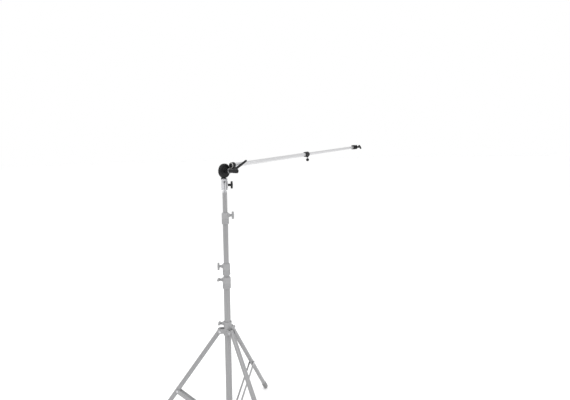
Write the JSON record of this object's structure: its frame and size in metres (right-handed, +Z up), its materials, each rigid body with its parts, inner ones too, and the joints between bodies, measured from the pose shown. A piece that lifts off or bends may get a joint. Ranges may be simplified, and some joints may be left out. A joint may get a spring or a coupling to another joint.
{
  "type": "light stand with grip head and telescopic arm",
  "caption": "Cross-braced folding tripod stand with telescoping column, swivelling and tilting grip head, and a telescopic side arm ending in a rim clip.",
  "frame": {"origin": "column axis at floor level", "axes": "+Z up the column; +X along the arm as seen from above; -Y towards the clamp lever and the front of the grip head"},
  "size_m": [1.4313, 0.6498, 1.2729],
  "materials": {
    "stand_grey": "light grey satin coat on drawn tube and castings",
    "knob_grey": "moulded light grey, fine grain",
    "plug_grey": "moulded grey plug",
    "foot_rubber": "light grey rubber, matte",
    "steel": "zinc plated, satin",
    "nylon": "natural nylon",
    "fibre": "pressed fibre friction washer",
    "chrome": "bright chrome plate",
    "head_black": "black powder coat on cast aluminium",
    "black_plastic": "glass filled nylon, fine grain",
    "pad_rubber": "soft clamp pad",
    "arm_silver": "bright anodised drawn tube"
  },
  "bodies": {
    "base": {"base_tube": "stand_grey", "base_cap": "plug_grey", "brace_spider": "stand_grey", "spider_pins": "steel", "collar_a": "stand_grey", "collar_a_pad": "nylon"},
    "collar_a_knob": {"collar_a_knob": "knob_grey"},
    "hub": {"leg_hub": "stand_grey", "hub_pins": "steel", "hub_pad": "nylon"},
    "hub_knob": {"hub_knob": "knob_grey"},
    "riser_a": {"riser_a": "stand_grey", "riser_a_guide": "nylon", "collar_b": "stand_grey", "collar_b_pad": "nylon"},
    "collar_b_knob": {"collar_b_knob": "knob_grey"},
    "riser_b": {"riser_b": "stand_grey", "riser_b_guide": "nylon", "collar_c": "stand_grey", "collar_c_pad": "nylon"},
    "collar_c_knob": {"collar_c_knob": "knob_grey"},
    "riser_c": {"riser_c": "stand_grey", "riser_c_guide": "nylon", "stud": "chrome"},
    "head": {"stud_socket": "chrome", "neck_pin": "steel", "tilt_disc_rear": "head_black", "friction_washer": "fibre", "axle_bolt": "steel"},
    "socket_knob": {"socket_knob": "black_plastic"},
    "tilt": {"tilt_disc_front": "head_black", "arm_clamp": "head_black"},
    "lever": {"clamp_lever": "black_plastic", "lever_washer": "chrome"},
    "liner": {"clamp_liner": "nylon"},
    "arm": {"arm_outer_tube": "arm_silver", "arm_end_cap": "black_plastic", "arm_lock_collar": "black_plastic"},
    "arm_lock_knob": {"arm_lock_knob": "black_plastic"},
    "arm_inner": {"arm_inner_tube": "arm_silver", "arm_guide": "nylon", "rim_clip": "black_plastic"},
    "rim_clip_screw": {"rim_clip_screw": "black_plastic"},
    "rim_clip_pad": {"rim_clip_pad": "pad_rubber"},
    "leg_left": {"leg_left": "stand_grey", "foot_left": "foot_rubber"},
    "brace_left": {"brace_left": "stand_grey", "brace_rivets_left": "steel"},
    "leg_front": {"leg_front": "stand_grey", "foot_front": "foot_rubber"},
    "brace_front": {"brace_front": "stand_grey", "brace_rivets_front": "steel"},
    "leg_back": {"leg_back": "stand_grey", "foot_back": "foot_rubber"},
    "brace_back": {"brace_back": "stand_grey", "brace_rivets_back": "steel"}
  },
  "joints": [
    {"name": "leg_hub_slide", "type": "slide", "parent": "base", "child": "hub", "axis": [0, 0, 1], "range_m": [0, 0.1477]},
    {"name": "leg_left_fold", "type": "hinge", "parent": "hub", "child": "leg_left", "pos_m": [-0.02598, 0.02492, 0.457], "axis": [-0.6921, -0.7218, 0], "range_deg": [0, 31.4]},
    {"name": "brace_left_fold", "type": "hinge", "parent": "base", "child": "brace_left", "pos_m": [-0.02598, 0.02492, 0.045], "axis": [0.6921, 0.7218, 0], "range_deg": [0, 41.83]},
    {"name": "leg_front_fold", "type": "hinge", "parent": "hub", "child": "leg_front", "pos_m": [-0.00859, -0.03496, 0.457], "axis": [0.9711, -0.2385, 0], "range_deg": [0, 31.4]},
    {"name": "brace_front_fold", "type": "hinge", "parent": "base", "child": "brace_front", "pos_m": [-0.00859, -0.03496, 0.045], "axis": [-0.9711, 0.2385, 0], "range_deg": [0, 41.83]},
    {"name": "leg_back_fold", "type": "hinge", "parent": "hub", "child": "leg_back", "pos_m": [0.03457, 0.01004, 0.457], "axis": [-0.279, 0.9603, 0], "range_deg": [0, 31.4]},
    {"name": "brace_back_fold", "type": "hinge", "parent": "base", "child": "brace_back", "pos_m": [0.03457, 0.01004, 0.045], "axis": [0.279, -0.9603, 0], "range_deg": [0, 41.83]},
    {"name": "riser_a_slide", "type": "slide", "parent": "base", "child": "riser_a", "axis": [0, 0, 1], "range_m": [0, 0.46]},
    {"name": "riser_b_slide", "type": "slide", "parent": "riser_a", "child": "riser_b", "axis": [0, 0, 1], "range_m": [-0.16, 0.28]},
    {"name": "riser_c_slide", "type": "slide", "parent": "riser_b", "child": "riser_c", "axis": [0, 0, 1], "range_m": [-0.08, 0.37]},
    {"name": "head_swivel", "type": "hinge", "parent": "riser_c", "child": "head", "pos_m": [0, 0, 1.108], "axis": [0, 0, 1], "continuous": true},
    {"name": "head_tilt", "type": "hinge", "parent": "head", "child": "tilt", "pos_m": [0, 0, 1.172], "axis": [0, -1, 0], "range_deg": [-60, 56]},
    {"name": "clamp_lever_turn", "type": "hinge", "parent": "head", "child": "lever", "pos_m": [0, -0.055, 1.172], "axis": [0, -1, 0], "range_deg": [-150, 150]},
    {"name": "arm_turn", "type": "hinge", "parent": "tilt", "child": "liner", "pos_m": [0.02868, -0.0235, 1.19569], "axis": [0.9983, 0, 0.0576], "range_deg": [-180, 180]},
    {"name": "arm_slide", "type": "slide", "parent": "liner", "child": "arm", "axis": [0.9983, 0, 0.0576], "range_m": [-0.48, 0]},
    {"name": "arm_extend", "type": "slide", "parent": "arm", "child": "arm_inner", "axis": [0.9983, 0, 0.0576], "range_m": [-0.49, 0.02]},
    {"name": "collar_a_knob_turn", "type": "hinge", "parent": "base", "child": "collar_a_knob", "pos_m": [0, 0, 0.684], "axis": [-0.6266, 0.7793, 0], "range_deg": [-180, 180]},
    {"name": "collar_b_knob_turn", "type": "hinge", "parent": "riser_a", "child": "collar_b_knob", "pos_m": [0, 0, 0.744], "axis": [-0.6266, 0.7793, 0], "range_deg": [-180, 180]},
    {"name": "collar_c_knob_turn", "type": "hinge", "parent": "riser_b", "child": "collar_c_knob", "pos_m": [0, 0, 0.972], "axis": [0.6266, -0.7793, 0], "range_deg": [-180, 180]},
    {"name": "hub_knob_turn", "type": "hinge", "parent": "hub", "child": "hub_knob", "pos_m": [0, 0, 0.488], "axis": [-0.6266, 0.7793, 0], "range_deg": [-180, 180]},
    {"name": "socket_knob_turn", "type": "hinge", "parent": "head", "child": "socket_knob", "pos_m": [0, 0, 1.108], "axis": [0.6266, -0.7793, 0], "range_deg": [-180, 180]},
    {"name": "arm_lock_knob_turn", "type": "hinge", "parent": "arm", "child": "arm_lock_knob", "pos_m": [0.60473, -0.0235, 1.2289], "axis": [0.0576, 0, -0.9983], "range_deg": [-180, 180]},
    {"name": "rim_clip_screw_turn", "type": "hinge", "parent": "arm_inner", "child": "rim_clip_screw", "pos_m": [1.13385, -0.0235, 1.25941], "axis": [0, 1, 0], "range_deg": [0, 1440]},
    {"name": "rim_clip_pad_slide", "type": "slide", "parent": "arm_inner", "child": "rim_clip_pad", "axis": [0, 1, 0], "range_m": [0, 0.004]}
  ],
  "couplings": [
    {"joint": "leg_left_fold", "follows": "leg_hub_slide", "rad_per_m": 3.7082},
    {"joint": "brace_left_fold", "follows": "leg_hub_slide", "rad_per_m": 4.9399},
    {"joint": "leg_front_fold", "follows": "leg_hub_slide", "rad_per_m": 3.7082},
    {"joint": "brace_front_fold", "follows": "leg_hub_slide", "rad_per_m": 4.9399},
    {"joint": "leg_back_fold", "follows": "leg_hub_slide", "rad_per_m": 3.7082},
    {"joint": "brace_back_fold", "follows": "leg_hub_slide", "rad_per_m": 4.9399},
    {"joint": "rim_clip_pad_slide", "follows": "rim_clip_screw_turn", "m_per_rad": 0.00015915}
  ]
}
